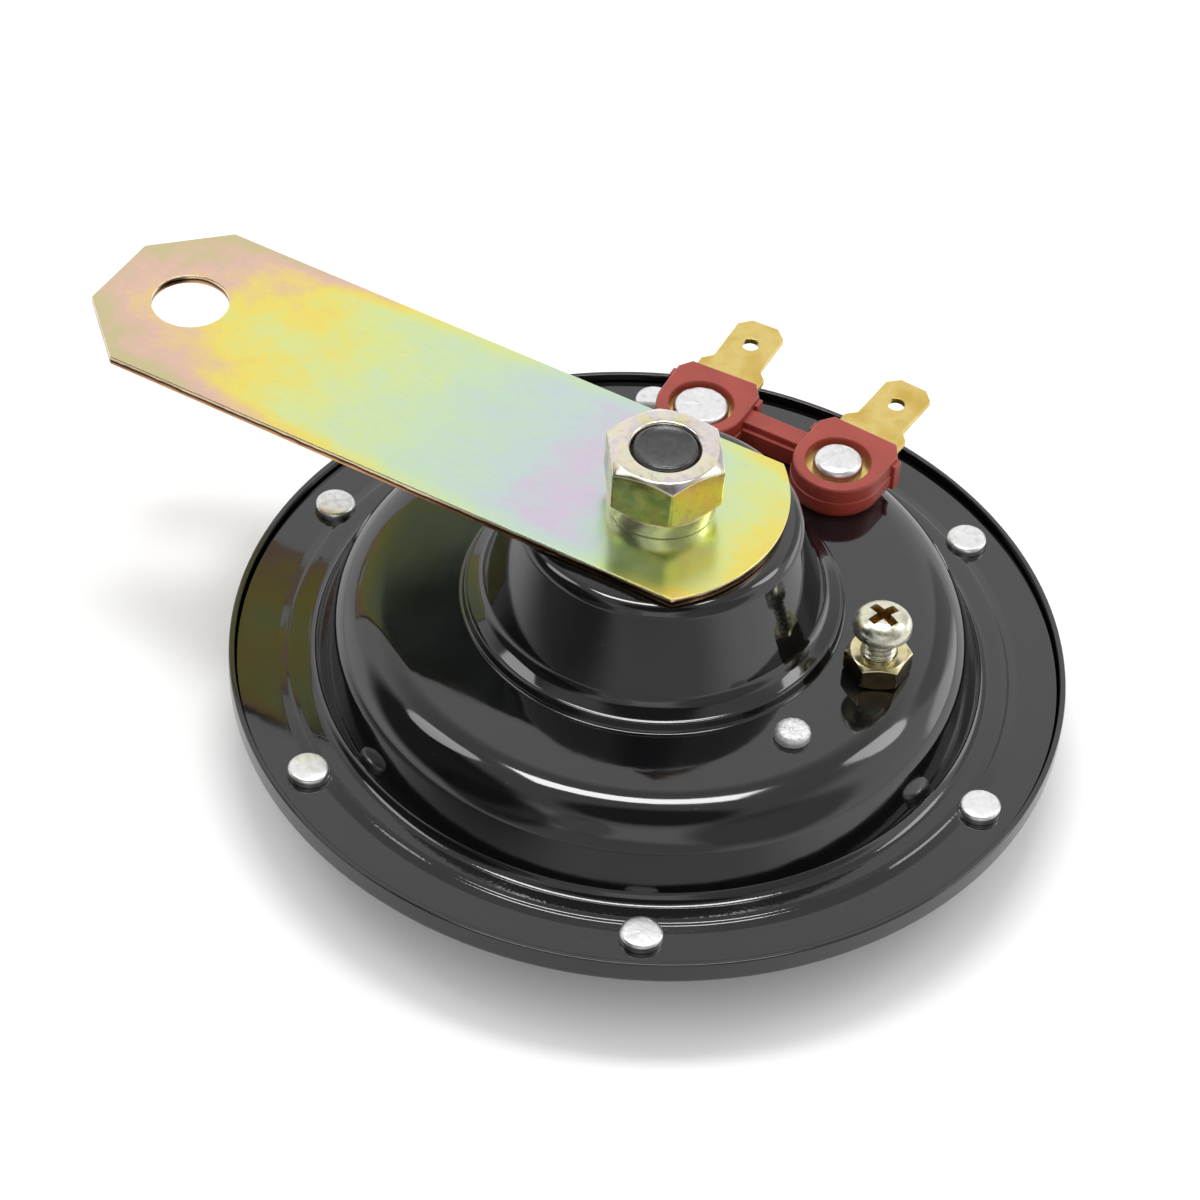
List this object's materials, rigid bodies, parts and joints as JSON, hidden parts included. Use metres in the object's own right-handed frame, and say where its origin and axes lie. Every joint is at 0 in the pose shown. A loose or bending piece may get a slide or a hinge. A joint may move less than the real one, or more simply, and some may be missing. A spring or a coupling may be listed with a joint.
{
  "type": "electric horn",
  "caption": "Electric disc horn with a pressed steel housing, a swivelling strap bracket, twin spade terminals and a sound adjusting screw.",
  "frame": {"origin": "centre of the front face, on the stud's axis, where the horn rests", "axes": "+Z along the stud towards the nut, -X along the strap to its fixing hole, +Y towards the terminals"},
  "size_m": [0.1254, 0.1, 0.0454],
  "materials": {
    "black_paint": "gloss black stoving paint",
    "gasket": "matt",
    "spring_steel": "rolled",
    "rivet_aluminium": "as headed",
    "rainbow_zinc": "iridescent yellow zinc",
    "yellow_zinc": "yellow zinc",
    "screw_zinc": "pale yellow zinc",
    "black_steel": "black oxide",
    "bare_steel": "machined",
    "black_plastic": "moulded",
    "copper_wire": "enamelled",
    "insulator": "laminate",
    "contact_bronze": "rolled",
    "brass": "stamped",
    "lead_sleeve": "varnished sleeving",
    "red_plastic": "satin moulding"
  },
  "bodies": {
    "housing": {"rear_housing": "black_paint", "front_cover": "black_paint", "rear_gasket": "gasket", "front_gasket": "gasket", "diaphragm": "spring_steel", "flange_rivets": "rivet_aluminium", "spring_washer": "yellow_zinc", "main_nut": "yellow_zinc", "pole_stud": "black_steel", "coil_bobbin": "black_plastic", "coil_winding": "copper_wire", "lock_nut": "yellow_zinc", "screw_bush": "bare_steel", "contact_rivet": "rivet_aluminium", "contact_insulators": "insulator", "moving_contact": "contact_bronze", "fixed_contact": "brass", "terminal_block": "red_plastic", "tab_left": "brass", "tab_right": "brass", "terminal_rivets": "rivet_aluminium", "terminal_insulators": "insulator", "lead_tags": "brass", "inner_leads": "lead_sleeve"},
    "armature": {"armature": "bare_steel", "armature_washer": "bare_steel", "disc_spacer": "bare_steel", "tone_disc": "bare_steel", "disc_nut": "bare_steel"},
    "screw": {"adjusting_screw": "screw_zinc"},
    "bracket": {"mounting_bracket": "rainbow_zinc"}
  },
  "joints": [
    {"name": "armature_slide", "type": "slide", "parent": "housing", "child": "armature", "axis": [0, 0, 1], "range_m": [0, 0.0006], "stiffness_N_per_m": 3000, "deforming": ["diaphragm", "moving_contact"]},
    {"name": "screw_turn", "type": "hinge", "parent": "housing", "child": "screw", "pos_m": [0.02801, 0.00324, 0.0284], "axis": [0, 0, 1], "range_deg": [-180, 180]},
    {"name": "bracket_swivel", "type": "hinge", "parent": "housing", "child": "bracket", "pos_m": [0, 0, 0.03615], "axis": [0, 0, 1], "continuous": true}
  ]
}
